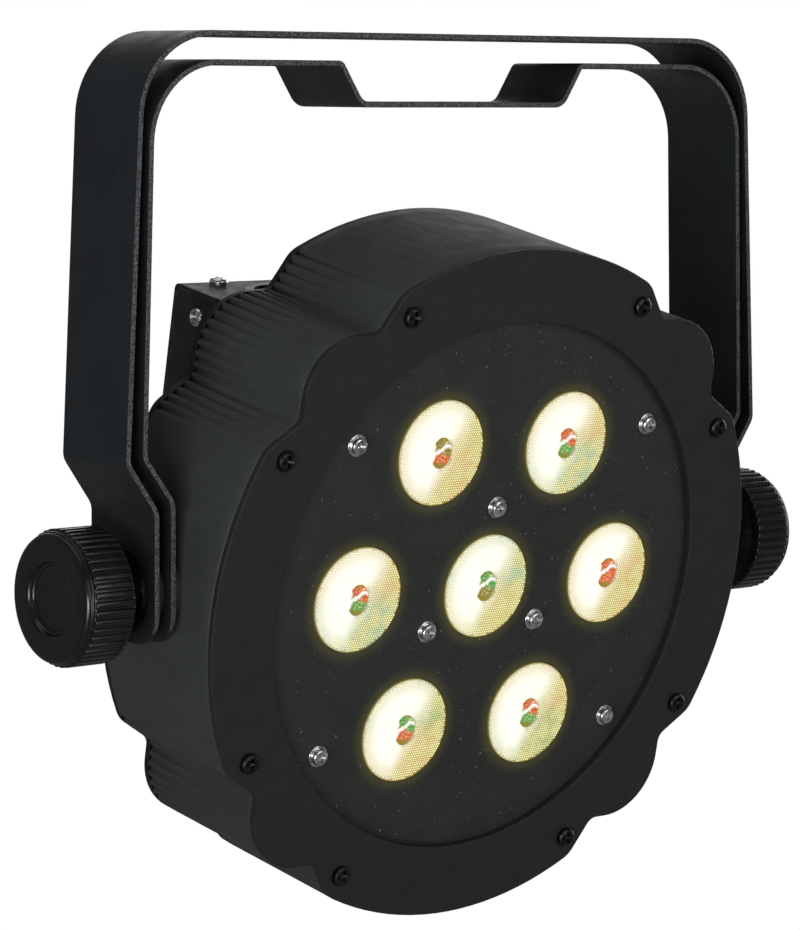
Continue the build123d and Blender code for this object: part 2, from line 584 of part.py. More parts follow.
# ------------------------------------------------------------------ build ----
def head_parts():
    outline = head_outline()
    parts = {
        "casing": make_casing(outline),
        "front_bezel": make_bezel(outline),
        "rear_cover": make_rear_cover(outline),
        "face_plate": make_face_plate(),
        "face_gasket": slab(Circle(79.2) - Circle(74.8), CASING_FRONT, 0),
        "heat_sink": make_heat_sink(),
        "box_frame": make_box_frame(),
        "box_cover": make_box_cover(),
        "control_board": make_control_board(),
        "menu_switches": make_switches(),
        "power_supply_board": make_supply_board(),
        "board_standoffs": make_standoffs(),
        "wire_grommet": make_grommet(),
        "diode_lead": rod_y(0, LEAD_Z, LEAD_RADIUS, SINK_FRONT, SUPPLY_FRONT),
        "safety_eye": make_safety_eye(),
        "display_module": block((-22, 22), (CONTROL_FRONT + 1.6, BOX_BACK - SHEET),
                                (DISPLAY_Z - 9, DISPLAY_Z + 9)),
        "display_window": block((-23, 23), (BOX_BACK - SHEET, BOX_BACK + 0.3),
                                (DISPLAY_Z - 10, DISPLAY_Z + 10)),
    }
    board = rod_y(0, 0, BOARD_RADIUS, BOARD_FRONT, SINK_FRONT)
    parts["diode_board"] = board

    for k, (x, z) in enumerate(lens_places()):
        parts[f"lens_{k}"] = Pos(x, -LENS_PROUD, z) * TO_BACK * make_lens()
    for name, shape in (("lens_holders", make_lens_holder()), ("diodes", make_diode())):
        parts[name] = group([Pos(x, 0, z) * TO_BACK * shape for x, z in lens_places()])

    bezel_screw = pan_screw(2.75, 1.7, 8)
    parts["bezel_screws"] = group(
        [Pos(x, BEZEL_FRONT, z) * TO_FRONT * bezel_screw for x, z in post_places()])
    face_screw = pan_screw(2.4, 1.5, 8, washer_radius=3.1)
    parts["face_screws"] = group(
        [Pos(x, 0, z) * TO_FRONT * face_screw for x, z in face_screw_places()])
    standoff = Cylinder(3.0, BOARD_FRONT - FACE_THICK, align=UP) - Cylinder(SCREW_BORE, 40)
    parts["face_standoffs"] = group(
        [Pos(x, FACE_THICK, z) * TO_BACK * standoff for x, z in face_screw_places()])
    parts["rear_cover_screws"] = group(
        [Pos(x, COVER_BACK, z) * TO_BACK * bezel_screw for x, z in post_places()])
    parts["heat_sink_screws"] = group(
        [Pos(x, COVER_BACK, z) * TO_BACK * bezel_screw for x, z in corners(SINK_POST_X, SINK_POST_Z)])
    box_fix = pan_screw(2.75, 1.7, 5)
    parts["box_fixing_screws"] = group(
        [Pos(x, COVER_BACK + SHEET, z) * TO_BACK * box_fix for x, z in corners(FIXING_X, FIXING_Z)])
    parts["safety_eye_screws"] = group(
        [Pos(x, COVER_BACK + 2, 84) * TO_BACK * box_fix for x in (-6.5, 6.5)])
    parts["box_side_screws"] = make_box_side_screws()

    top = Pos(-SOCKET_X, SOCKET_Y, BOX_TOP)
    parts["signal_inlet"] = top * make_signal_inlet()
    parts["signal_inlet_pins"] = top * make_signal_pins()
    parts["signal_outlet"] = Pos(SOCKET_X, SOCKET_Y, BOX_TOP) * make_signal_outlet()
    parts["release_lever"] = Pos(SOCKET_X, SOCKET_Y, BOX_TOP) * make_release_lever()
    bottom_left = Pos(-SOCKET_X, SOCKET_Y, BOX_BOTTOM) * TO_BOTTOM
    parts["power_inlet"] = bottom_left * make_power_inlet()
    parts["power_inlet_pins"] = bottom_left * make_power_pins()
    parts["power_outlet"] = Pos(SOCKET_X, SOCKET_Y, BOX_BOTTOM) * TO_BOTTOM * make_power_outlet()
    fuse_place = Pos(0, SOCKET_Y, BOX_BOTTOM) * TO_BOTTOM
    parts["fuse_holder"] = fuse_place * make_fuse_holder()
    parts["fuse_cap"] = fuse_place * make_fuse_cap()
    parts["fuse"] = fuse_place * Pos(0, 0, -16.5) * Cylinder(2.5, 14.4, align=UP)

    for name, x in zip(BUTTON_NAMES, button_places()):
        parts[f"button_{name}"] = Pos(x, BOX_BACK, BUTTON_Z) * TO_BACK * make_button()

    insert = disc(STUD_RADIUS + 0.05, INSERT_RADIUS, STUD_INNER_X, BOSS_FACE_X)
    parts["pivot_inserts"] = group(
        [Pos(0, PIVOT_BACK, 0) * along_x(side) * insert for side in SIDES.values()])
    return parts


def make_box_side_screws():
    """Two screws on each side and two each on the top and bottom of the box."""
    screw = pan_screw(2.6, 1.7, 2.3)
    places = []
    for side in SIDES.values():
        for z in side_screw_heights():
            places.append(Pos(side * BOX_HALF_X, SIDE_SCREW_Y, z) * along_x(side))
        places.append(Pos(side * TAB_SCREW_X, TAB_SCREW_Y, BOX_TOP))
        places.append(Pos(side * TAB_SCREW_X, TAB_SCREW_Y, BOX_BOTTOM) * TO_BOTTOM)
    return group([place * screw for place in places])


def pivot_parts():
    parts = {"outer_bracket": make_outer_bracket(), "inner_bracket": make_inner_bracket()}
    knob = make_knob()
    for name, side in SIDES.items():
        axis = along_x(side)
        stud = Pos(0, 0, STUD_INNER_X) * Cylinder(STUD_RADIUS, STUD_OUTER_X - STUD_INNER_X, align=UP)
        parts[f"knob_{name}"] = axis * knob
        parts[f"knob_stud_{name}"] = axis * stud
        parts[f"knob_washer_{name}"] = axis * disc(STUD_CLEAR, WASHER_RADIUS, 103.95, KNOB_HUB_X - 0.05)
    spacer = disc(STUD_CLEAR, WASHER_RADIUS, INNER_FOOT_X + 0.1, OUTER_FOOT_X - STRIP_THICK)
    parts["bracket_spacers"] = group([along_x(side) * spacer for side in SIDES.values()])
    return parts


def main():
    os.makedirs("parts", exist_ok=True)
    for name, shape in head_parts().items():
        export_step(place_head(shape), f"parts/{name}.step")
    for name, shape in pivot_parts().items():
        export_step(place_pivot(shape), f"parts/{name}.step")


main()
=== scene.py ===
"""Looks of the seven-lens par can light: materials, finer pieces around the CAD frame, stage and camera."""
import json
from math import atan2, cos, hypot, pi, radians, sin

import bmesh
import bpy
from mathutils import Matrix, Vector

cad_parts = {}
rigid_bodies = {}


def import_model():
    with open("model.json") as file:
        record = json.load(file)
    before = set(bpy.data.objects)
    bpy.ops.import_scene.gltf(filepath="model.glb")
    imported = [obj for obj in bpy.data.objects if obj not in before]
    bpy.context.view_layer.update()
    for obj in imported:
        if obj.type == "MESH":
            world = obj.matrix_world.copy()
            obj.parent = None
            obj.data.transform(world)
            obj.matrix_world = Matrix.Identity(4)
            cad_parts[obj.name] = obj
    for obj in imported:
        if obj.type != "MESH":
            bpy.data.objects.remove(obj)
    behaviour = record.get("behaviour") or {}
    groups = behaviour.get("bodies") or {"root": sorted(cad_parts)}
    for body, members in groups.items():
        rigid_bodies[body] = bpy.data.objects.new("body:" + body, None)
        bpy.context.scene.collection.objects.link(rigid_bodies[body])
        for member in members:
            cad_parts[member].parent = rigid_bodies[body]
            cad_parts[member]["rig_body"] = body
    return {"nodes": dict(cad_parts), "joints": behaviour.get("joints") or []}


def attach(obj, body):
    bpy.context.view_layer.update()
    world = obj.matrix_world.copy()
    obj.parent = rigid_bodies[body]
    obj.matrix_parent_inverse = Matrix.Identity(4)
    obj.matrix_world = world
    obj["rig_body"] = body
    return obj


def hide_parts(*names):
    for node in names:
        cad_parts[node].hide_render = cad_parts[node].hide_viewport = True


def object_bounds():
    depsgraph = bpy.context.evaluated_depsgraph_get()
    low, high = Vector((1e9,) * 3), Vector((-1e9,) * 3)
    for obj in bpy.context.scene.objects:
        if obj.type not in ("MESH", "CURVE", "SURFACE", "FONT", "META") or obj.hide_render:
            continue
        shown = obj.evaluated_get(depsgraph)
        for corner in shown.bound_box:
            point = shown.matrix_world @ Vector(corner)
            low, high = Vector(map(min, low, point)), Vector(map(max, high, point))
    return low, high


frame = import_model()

CAD_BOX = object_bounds()
MM = 0.001

# ------------------------------------------------------- driving dimensions ----
HEAD_TILT = radians(10.7)
PIVOT_BACK = 24.4 * MM
PIVOT = Vector(next(j["pos_m"] for j in frame["joints"] if j["name"] == "head_tilt"))
HEAD_TURN = Matrix.Rotation(HEAD_TILT, 4, "X")
HEAD = Matrix.Translation(PIVOT) @ HEAD_TURN @ Matrix.Translation((0, -PIVOT_BACK, 0))

LENS_PITCH = 45 * MM        # centre to centre
LENS_RADIUS = 14.6 * MM
LENS_PROUD = 0.7 * MM
LENS_DEPTH = 2.3 * MM
EYE_RADIUS = 4.3 * MM       # half the height of the oval well in the middle of a lens
EYE_NARROW = 0.8            # width of the eye as a share of its height
EYE_DEPTH = 1.6 * MM
CELL_PITCH = 0.76 * MM      # between the beads of a lens
CELL_RISE = 0.16 * MM

CASING_FRONT = -0.96 * MM   # depths are behind the plane of the face
CASING_BACK = 44.5 * MM
CASING_WALL = 2.6 * MM
CASING_FLARE = 0.75 * MM    # the moulding widens this much from front to back
SEAM = 0.35 * MM            # open joint between the bezel and the casing
RIB_PITCH = 3.0 * MM
RIB_SPREAD = radians(18.5)  # half angle of a ribbed corner
RIB_DEPTH = (0.04 * MM, 1.25 * MM)  # at the front and the back of the casing
OUTLINE_STEP = 0.3 * MM
WALL_RINGS = 13
POST_RING = 87.6 * MM
POST_ANGLE = 17.1           # degrees either side of a diagonal
POST_RADIUS = 4.4 * MM
SCREW_BORE = 1.5 * MM
BOSS_RADIUS = 12 * MM
BOSS_BORE = 6 * MM
BOSS_ROOT = 88.3 * MM
BOSS_FACE = 96.9 * MM
COVER_REACH = 92 * MM       # middle of the rear cover to its edge

KNOB_FLUTES = 46
FLUTE_DEPTH = 0.62 * MM
FLUTE_CROWN = 0.10 * MM     # fall of a tooth's top towards its sides
FLUTE_STEPS = 10
KNOB_RIM = (112.3 * MM, 124.4 * MM)  # where the flutes start and end, along the knob line

DISPLAY_Z = 24 * MM
BOX_BACK = 85 * MM
SHEET = 1.2 * MM
DIGIT_PITCH = 10 * MM
SEGMENT_THICK = 0.25 * MM


# ------------------------------------------------------------- node helpers ----
class Paint:
    """One node material, drawn in the piece's own coordinates, in metres."""

    def __init__(self, name):
        self.material = bpy.data.materials.new(name)
        self.material.use_nodes = True
        self.tree = self.material.node_tree
        self.tree.nodes.clear()
        self.place = self.add("ShaderNodeTexCoord").outputs["Object"]

    def add(self, kind, inputs=None, **settings):
        node = self.tree.nodes.new(kind)
        for key, value in settings.items():
            setattr(node, key, value)
        for key, value in (inputs or {}).items():
            if isinstance(value, bpy.types.NodeSocket):
                self.tree.links.new(value, node.inputs[key])
            else:
                node.inputs[key].default_value = value
        return node

    def noise(self, size, detail=2.0, rough=0.5, stretch=None):
        """Cloudy value, mostly 0.3 to 0.7, with features about size metres wide."""
        place = self.place
        if stretch:
            place = self.add("ShaderNodeMapping", {"Vector": place, "Scale": stretch}).outputs[0]
        inputs = {"Vector": place, "Scale": 1 / size, "Detail": detail, "Roughness": rough}
        return self.add("ShaderNodeTexNoise", inputs).outputs[0]

    def cells(self, size, feature="F1"):
        inputs = {"Vector": self.place, "Scale": 1 / size}
        return self.add("ShaderNodeTexVoronoi", inputs, feature=feature).outputs["Distance"]

    def step(self, value, low, high, start=0.0, end=1.0):
        """Smooth step from start, at low, to end, at high."""
        inputs = {"Value": value, "From Min": low, "From Max": high, "To Min": start, "To Max": end}
        return self.add("ShaderNodeMapRange", inputs, interpolation_type="SMOOTHSTEP").outputs[0]

    def math(self, operation, a, b=0.0):
        return self.add("ShaderNodeMath", {0: a, 1: b}, operation=operation).outputs[0]

    def mix(self, share, a, b):
        """Colour a turning into colour b as share goes from 0 to 1."""
        inputs = {0: share, 6: a, 7: b}
        return self.add("ShaderNodeMix", inputs, data_type="RGBA").outputs[2]

    def axis(self, name):
        return self.add("ShaderNodeSeparateXYZ", {0: self.place}).outputs[name]

    def along(self, direction):
        """Distance along a direction in the piece's own coordinates."""
        inputs = {0: self.place, 1: direction}
        return self.add("ShaderNodeVectorMath", inputs, operation="DOT_PRODUCT").outputs["Value"]

    def facing(self, direction):
        """How far the surface faces a direction of the piece, from -1 to 1."""
        normal = self.add("ShaderNodeTexCoord").outputs["Normal"]
        inputs = {0: normal, 1: direction}
        return self.add("ShaderNodeVectorMath", inputs, operation="DOT_PRODUCT").outputs["Value"]

    def edges(self, radius, low=0.01, high=0.12):
        """1 on sharp outer edges, fading to 0 about radius away from them."""
        flat = self.add("ShaderNodeNewGeometry").outputs["Normal"]
        bent = self.add("ShaderNodeBevel", {"Radius": radius}, samples=4).outputs[0]
        likeness = self.add("ShaderNodeVectorMath", {0: flat, 1: bent}, operation="DOT_PRODUCT")
        return self.step(self.math("SUBTRACT", 1.0, likeness.outputs["Value"]), low, high)

    def radius(self):
        """Distance from the piece's own Y axis."""
        x, z = self.axis("X"), self.axis("Z")
        return self.math("SQRT", self.math("ADD", self.math("MULTIPLY", x, x), self.math("MULTIPLY", z, z)))

    def bump(self, height, depth, strength=1.0, under=None):
        inputs = {"Height": height, "Distance": depth, "Strength": strength}
        if under:
            inputs["Normal"] = under
        return self.add("ShaderNodeBump", inputs).outputs[0]

    def finish(self, **inputs):
        """Principled surface; an input's name has _ for a space."""
        named = {key.replace("_", " "): value for key, value in inputs.items()}
        shader = self.add("ShaderNodeBsdfPrincipled", named)
        self.add("ShaderNodeOutputMaterial", {"Surface": shader.outputs[0]})
        return self.material


def grey(value, green=1.0, blue=1.0):
    return (value, value * green, value * blue, 1)


def scaled(colour, share):
    """The colour made lighter or darker, no channel above 1."""
    return tuple(min(1, share * channel) for channel in colour[:3]) + (1,)


def lens_places():
    """Centre lens first, then the six around it from +X on, in the head's X and Z."""
    ring = [radians(60 * k) for k in range(6)]
    return [(0.0, 0.0)] + [(LENS_PITCH * cos(a), LENS_PITCH * sin(a)) for a in ring]


def powder_coat(name, dark, light, roughness, grain=0.5 * MM, depth=0.05 * MM, fleck=0.35, worn_and_highlit=None):
    """Baked powder paint: an uneven pebbled skin, light flecks and, if an edge colour is given, lighter
    sharp edges that are partly bare metal from wear and partly a painted edge highlight.
    """
    p = Paint(name)
    tone = p.mix(p.step(p.noise(9 * MM, 3), 0.3, 0.7), dark, light)
    fleck_mask = p.step(p.noise(0.45 * MM, 1), 0.66, 0.74, 0, fleck)
    tone = p.mix(fleck_mask, tone, scaled(light, 5))
    rough = p.step(p.noise(3 * MM, 4), 0.25, 0.75, roughness - 0.07, roughness + 0.09)
    metal = 0.0
    if worn_and_highlit:
        # sharp edges lightened in patches: partly bare metal from wear, partly a painted edge highlight
        rubbed_and_highlit = p.step(p.noise(1.1 * MM, 4, 0.7), 0.42, 0.62)
        edge = p.math("MULTIPLY", p.edges(0.35 * MM), rubbed_and_highlit)
        tone = p.mix(edge, tone, worn_and_highlit)
        metal = p.math("MULTIPLY", edge, 0.6)
    skin = p.bump(p.noise(grain, 3, 0.6), depth)
    return p.finish(Base_Color=tone, Roughness=rough, Metallic=metal, Normal=skin, Specular_IOR_Level=0.35)


def bracket_paint(name):
    """Blue-black powder coat whose cut edges are worn to speckled grey, with sharp edges lightened partly by
    wear and partly as a painted edge highlight.
    """
    p = Paint(name)
    tone = p.mix(p.step(p.noise(14 * MM, 3), 0.3, 0.7), grey(0.010, 1.25, 1.5), grey(0.014, 1.25, 1.45))
    tone = p.mix(p.step(p.noise(0.4 * MM, 1), 0.64, 0.72, 0, 0.3), tone, grey(0.08, 1.1, 1.18))
    cut = p.step(p.math("ABSOLUTE", p.facing((0, 1, 0))), 0.75, 0.95)
    speckle = p.step(p.noise(0.45 * MM, 4, 0.8), 0.40, 0.66)
    bare = p.mix(speckle, grey(0.012, 1.05, 1.15), grey(0.20, 1.02, 1.08))
    tone = p.mix(p.math("MULTIPLY", cut, 0.9), tone, bare)
    # sharp edges lightened to grey in patches: partly bare metal from wear, partly a painted edge highlight
    rubbed_and_highlit = p.math("MULTIPLY", p.edges(0.16 * MM), p.step(p.noise(1.3 * MM, 4, 0.7), 0.46, 0.62))
    tone = p.mix(p.math("MULTIPLY", rubbed_and_highlit, 0.45), tone, grey(0.32))
    rough = p.step(p.noise(4 * MM, 4), 0.25, 0.75, 0.42, 0.56)
    skin = p.bump(p.noise(0.55 * MM, 3, 0.6), 0.06 * MM)
    return p.finish(Base_Color=tone, Roughness=rough, Normal=skin, Specular_IOR_Level=0.4)


def moulded(name, dark, light, roughness, grain=0.25 * MM, depth=0.012 * MM, shine=0.4, coat=0.0):
    """Moulded plastic: fine eroded grain, faint flow marks and a little handling polish."""
    p = Paint(name)
    tone = p.mix(p.step(p.noise(7 * MM, 4, 0.6), 0.3, 0.7), dark, light)
    tone = p.mix(p.step(p.noise(0.8 * MM, 2), 0.68, 0.76, 0, 0.2), tone, scaled(light, 3))
    rough = p.step(p.noise(5 * MM, 5, 0.6), 0.3, 0.7, roughness - 0.08, roughness + 0.08)
    skin = p.bump(p.noise(grain, 2, 0.6), depth)
    return p.finish(Base_Color=tone, Roughness=rough, Normal=skin, Specular_IOR_Level=shine,
                    Coat_Weight=coat, Coat_Roughness=0.12)


def casing_plastic(name):
    """Satin charcoal shell with moulding lines along its depth and a dusting of pale specks."""
    p = Paint(name)
    tone = p.mix(p.step(p.noise(16 * MM, 4, 0.6), 0.3, 0.7), grey(0.047, 1.1, 1.16), grey(0.056, 1.1, 1.15))
    draw = p.noise(1.1 * MM, 3, 0.6, stretch=(1, 0.05, 1))
    tone = p.mix(p.step(draw, 0.35, 0.65, 0, 0.25), tone, grey(0.036, 1.1, 1.15))
    tone = p.mix(p.step(p.noise(0.35 * MM, 1), 0.66, 0.74, 0, 0.25), tone, grey(0.14))
    rough = p.step(p.noise(6 * MM, 4), 0.25, 0.75, 0.52, 0.66)
    skin = p.bump(draw, 0.02 * MM, under=p.bump(p.noise(0.22 * MM, 2, 0.6), 0.012 * MM))
    return p.finish(Base_Color=tone, Roughness=rough, Normal=skin, Specular_IOR_Level=0.3)


def face_paint(name):
    """Greenish-grey textured paint with pin-prick light flecks, and a faint painted glow around each lens.
    """
    p = Paint(name)
    tone = p.mix(p.step(p.noise(11 * MM, 4, 0.6), 0.3, 0.7), grey(0.030, 1.12, 1.0), grey(0.039, 1.1, 0.97))
    tone = p.mix(p.step(p.noise(0.5 * MM, 3, 0.7), 0.3, 0.7, 0, 0.5), tone, grey(0.018, 1.05, 1.0))
    tone = p.mix(p.step(p.noise(0.9 * MM, 1), 0.73, 0.78, 0, 0.9), tone, grey(0.2, 1.03, 0.98))
    # painted glow: emission on the plate that fades out from each lens rim, standing in for lens light
    # spilling onto the plate
    nearest = 1.0
    for x, z in lens_places():
        spot = {0: p.place, 1: HEAD @ Vector((x, 0, z))}
        away = p.add("ShaderNodeVectorMath", spot, operation="DISTANCE").outputs["Value"]
        nearest = p.math("MINIMUM", away, nearest)
    glow = p.math("POWER", p.step(nearest, LENS_RADIUS, LENS_RADIUS + 6 * MM, 1, 0), 2.5)
    rough = p.step(p.noise(1.2 * MM, 3), 0.3, 0.7, 0.55, 0.75)
    skin = p.bump(p.noise(0.6 * MM, 4, 0.65), 0.09 * MM)
    return p.finish(Base_Color=tone, Roughness=rough, Normal=skin, Specular_IOR_Level=0.35,
                    Emission_Color=(0.20, 0.17, 0.02, 1), Emission_Strength=p.math("MULTIPLY", glow, 0.16))


def glossy_knob(name):
    """Glossy black phenolic with hair scratches and finger smears."""
    p = Paint(name)
    tone = p.mix(p.step(p.noise(4 * MM, 3), 0.3, 0.7), grey(0.003, 1.1, 1.2), grey(0.006, 1.1, 1.2))
    scratch = p.noise(0.5 * MM, 4, 0.75, stretch=(0.2, 1, 1))
    tone = p.mix(p.step(scratch, 0.68, 0.75, 0, 0.3), tone, grey(0.08))
    rough = p.step(p.noise(3 * MM, 5, 0.65), 0.3, 0.7, 0.13, 0.27)
    skin = p.bump(scratch, 0.008 * MM, under=p.bump(p.noise(1.6 * MM, 2), 0.015 * MM))
    return p.finish(Base_Color=tone, Roughness=rough, Normal=skin, Specular_IOR_Level=0.6)


def metal(name, dark, light, roughness, grain=0.15 * MM, depth=0.006 * MM, stretch=None):
    """Plated or bare metal: brushed or blasted grain, dull patches and a trace of tarnish."""
    p = Paint(name)
    tarnish = p.step(p.noise(1.6 * MM, 4, 0.65), 0.4, 0.66)
    tone = p.mix(tarnish, light, dark)
    rough = p.step(p.noise(0.9 * MM, 4, 0.6), 0.3, 0.7, roughness - 0.07, roughness + 0.12)
    skin = p.bump(p.noise(grain, 3, 0.6, stretch), depth)
    return p.finish(Base_Color=tone, Roughness=rough, Metallic=1.0, Normal=skin)


def circuit_board(name, mask, copper):
    """Solder mask over copper traces, with a fine weave under it."""
    p = Paint(name)
    traces = p.step(p.cells(3.2 * MM, "DISTANCE_TO_EDGE"), 0.05, 0.07)
    tone = p.mix(traces, copper, mask)
    tone = p.mix(p.step(p.noise(1.5 * MM, 4), 0.35, 0.65, 0, 0.3), tone, scaled(mask, 0.6))
    skin = p.bump(traces, 0.05 * MM, under=p.bump(p.noise(0.3 * MM, 2), 0.01 * MM))
    rough = p.step(p.noise(4 * MM, 3), 0.3, 0.7, 0.3, 0.45)
    return p.finish(Base_Color=tone, Roughness=rough, Normal=skin)


def clear(name, tint, roughness):
    """Moulded clear material with faint waves and a few pits."""
    p = Paint(name)
    tone = p.mix(p.step(p.noise(5 * MM, 3), 0.3, 0.7), tint, scaled(tint, 0.85))
    rough = p.step(p.noise(1.5 * MM, 4), 0.3, 0.7, roughness, roughness + 0.08)
    skin = p.bump(p.noise(2 * MM, 2), 0.01 * MM)
    return p.finish(Base_Color=tone, Roughness=rough, Transmission_Weight=1.0, IOR=1.49, Normal=skin)


def display_window(name):
    """Smoked window over the digits: dark, glossy, with faint wiping marks."""
    p = Paint(name)
    tone = p.mix(p.step(p.noise(6 * MM, 4, 0.6), 0.3, 0.7), (0.16, 0.02, 0.02, 1), (0.22, 0.04, 0.035, 1))
    rough = p.step(p.noise(3 * MM, 5, 0.6, stretch=(0.3, 1, 1)), 0.35, 0.7, 0.04, 0.16)
    return p.finish(Base_Color=tone, Roughness=rough, Transmission_Weight=1.0, IOR=1.49,
                    Normal=p.bump(p.noise(8 * MM, 2), 0.01 * MM))


def lit_segment(name, colour, strength):
    """Digit segment of the display, its glow varying in small patches."""
    p = Paint(name)
    glow = p.mix(p.step(p.noise(0.7 * MM, 2), 0.3, 0.7), colour, scaled(colour, 0.7))
    return p.finish(Base_Color=glow, Roughness=0.4, Emission_Color=glow, Emission_Strength=strength)


# ------------------------------------------------------------ lens materials ----
WHITE = (1.0, 0.995, 0.93, 1)
CREAM = (1.0, 0.97, 0.70, 1)
STRAW = (1.0, 0.99, 0.50, 1)
PEACH = (0.95, 0.72, 0.38, 1)
RED = (0.62, 0.09, 0.02, 1)
GREEN = (0.06, 0.33, 0.06, 1)
TEAL = (0.10, 0.48, 0.45, 1)
OLIVE = (0.22, 0.19, 0.02, 1)
ORANGE = (0.85, 0.36, 0.08, 1)
OCHRE = (0.72, 0.55, 0.10, 1)
GROOVE = (0.13, 0.095, 0.012, 1)


def lens_face(name, upper, lower):
    """Lit beaded lens: burnt out towards one side, coloured bead by bead on the other."""
    p = Paint(name)
    wobble = p.math("MULTIPLY", p.math("SUBTRACT", p.noise(9 * MM, 2), 0.5), 12 * MM)
    lit_side = p.math("ADD", p.along((-0.86, 0, 0.50)), wobble)
    outer = p.step(p.radius(), 0.62 * LENS_RADIUS, LENS_RADIUS, 1.0, 0.45)
    burn = p.math("MULTIPLY", p.step(lit_side, -7.5 * MM, 3.5 * MM), outer)
    rise = p.step(p.math("MULTIPLY", p.axis("Y"), -1.0), 0.01 * MM, CELL_RISE * 0.55)
    height = p.math("ADD", p.axis("Z"), p.math("MULTIPLY", wobble, 0.7))
    zone = p.mix(p.step(height, -4 * MM, 4 * MM), lower, upper)
    patch = p.step(p.noise(5 * MM, 3, 0.6), 0.40, 0.62, 0.1, 0.85)
    groove = p.mix(0.68, p.mix(patch, OCHRE, zone), GROOVE)
    bead = p.mix(p.math("MULTIPLY", patch, 0.38), STRAW, zone)
    grid = p.mix(rise, groove, bead)
    hot = p.mix(p.step(rise, 0.0, 1.0, 0.5, 0.0), WHITE, CREAM)
    glow = p.mix(burn, grid, hot)
    dots = p.step(p.cells(0.55 * MM), 0.25, 0.5, 1, 0.25)
    rim = p.step(p.radius(), LENS_RADIUS - 0.6 * MM, LENS_RADIUS - 0.15 * MM)
    glow = p.mix(p.math("MULTIPLY", rim, dots), glow, (0.42, 0.35, 0.05, 1))
    glow = p.mix(p.step(p.axis("Y"), 0.05 * MM, 0.35 * MM), glow, (0.09, 0.08, 0.008, 1))
    return p.finish(Base_Color=(0.05, 0.05, 0.04, 1), Roughness=0.25, Emission_Color=glow,
                    Emission_Strength=1.06, Coat_Weight=0.3, Coat_Roughness=0.1)


def lens_eye(name, upper, lower):
    """Well in the middle of a lens, where the diode's chips show as a white bar between colours."""
    p = Paint(name)
    ray = p.noise(0.8 * MM, 4, 0.75, stretch=(1, 1, 0.35))
    shift = p.math("MULTIPLY", p.math("SUBTRACT", ray, 0.5), 4.4 * MM)
    height = p.math("ADD", p.along((0.35, 0, 0.94)), shift)
    hue = p.mix(p.step(height, -0.7 * MM, 0.9 * MM), lower, upper)
    hue = p.mix(p.step(p.noise(0.7 * MM, 3, 0.75), 0.50, 0.62, 0, 0.7), hue, PEACH)
    away = p.math("ABSOLUTE", p.math("ADD", p.along((-0.45, 0, 0.89)), p.math("MULTIPLY", shift, 0.5)))
    glow = p.mix(p.step(away, 0.15 * MM, 0.95 * MM, 1, 0), hue, WHITE)
    ends = p.step(p.math("ABSOLUTE", p.axis("Z")), 2.7 * MM, 3.7 * MM)
    glow = p.mix(p.math("MULTIPLY", ends, 0.85), glow, OLIVE)
    jagged = p.math("ADD", p.axis("X"), p.math("MULTIPLY", shift, 0.45))
    glow = p.mix(p.step(jagged, -1.5 * MM, -1.1 * MM, 1, 0), glow, WHITE)
    return p.finish(Base_Color=(0.03, 0.03, 0.02, 1), Roughness=0.15, Emission_Color=glow,
                    Emission_Strength=1.0)


FINISHES = {
    "bracket_steel": bracket_paint("bracket_steel_paint"),
    "friction_fibre": moulded("friction_fibre_disc", grey(0.02), grey(0.035), 0.8, 0.4 * MM, 0.05 * MM),
    "casing_plastic": casing_plastic("casing_satin"),
    "bezel_plastic": moulded("bezel_matte", grey(0.016, 1.08, 1.08), grey(0.020, 1.08, 1.08), 0.6,
                             depth=0.02 * MM),
    "face_paint": face_paint("face_plate_paint"),
    "cover_paint": powder_coat("cover_powder", grey(0.004, 1.1, 1.15), grey(0.007, 1.1, 1.15), 0.5,
                               worn_and_highlit=grey(0.1)),
    "box_paint": powder_coat("box_powder", grey(0.013, 1.05, 1.08), grey(0.02, 1.05, 1.08), 0.52,
                             0.7 * MM, 0.09 * MM, worn_and_highlit=grey(0.25)),
    "knob_plastic": glossy_knob("knob_gloss"),
    "plated_steel": metal("zinc_plate", grey(0.42), grey(0.85, 0.99, 0.97), 0.22),
    "black_steel": metal("blackened_steel", grey(0.02), grey(0.055), 0.34),
    "lens_clear": clear("clear_acrylic", (0.9, 0.92, 0.88, 1), 0.05),
    "holder_plastic": moulded("holder_black", grey(0.01), grey(0.016), 0.5),
    "diode_package": moulded("diode_ceramic", grey(0.6), grey(0.75), 0.45),
    "white_board": circuit_board("white_mask_board", grey(0.7), grey(0.55)),
    "green_board": circuit_board("green_mask_board", (0.01, 0.10, 0.03, 1), (0.02, 0.17, 0.05, 1)),
    "bare_aluminium": metal("milled_aluminium", grey(0.5), grey(0.75), 0.34, stretch=(0.1, 1, 1)),
    "socket_plastic": moulded("socket_black", grey(0.008), grey(0.013), 0.42),
    "contact_metal": metal("nickel_contacts", (0.55, 0.47, 0.3, 1), (0.8, 0.74, 0.58, 1), 0.22),
    "black_rubber": moulded("black_rubber", grey(0.01), grey(0.016), 0.78, 0.5 * MM, 0.03 * MM),
    "display_glass": display_window("smoked_window"),
    "fuse_glass": clear("fuse_tube_glass", (0.9, 0.95, 0.92, 1), 0.03),
    "button_plastic": moulded("button_grey", grey(0.05), grey(0.07), 0.5),
    "lead_sheath": moulded("lead_sheath", grey(0.012), grey(0.018), 0.55, 0.5 * MM, 0.02 * MM),
}


def dress_frame():
    """Give every CAD node the finish of the slot it names."""
    for node in frame["nodes"].values():
        for slot in node.material_slots:
            slot.material = FINISHES[slot.material.name.split(".")[0]]


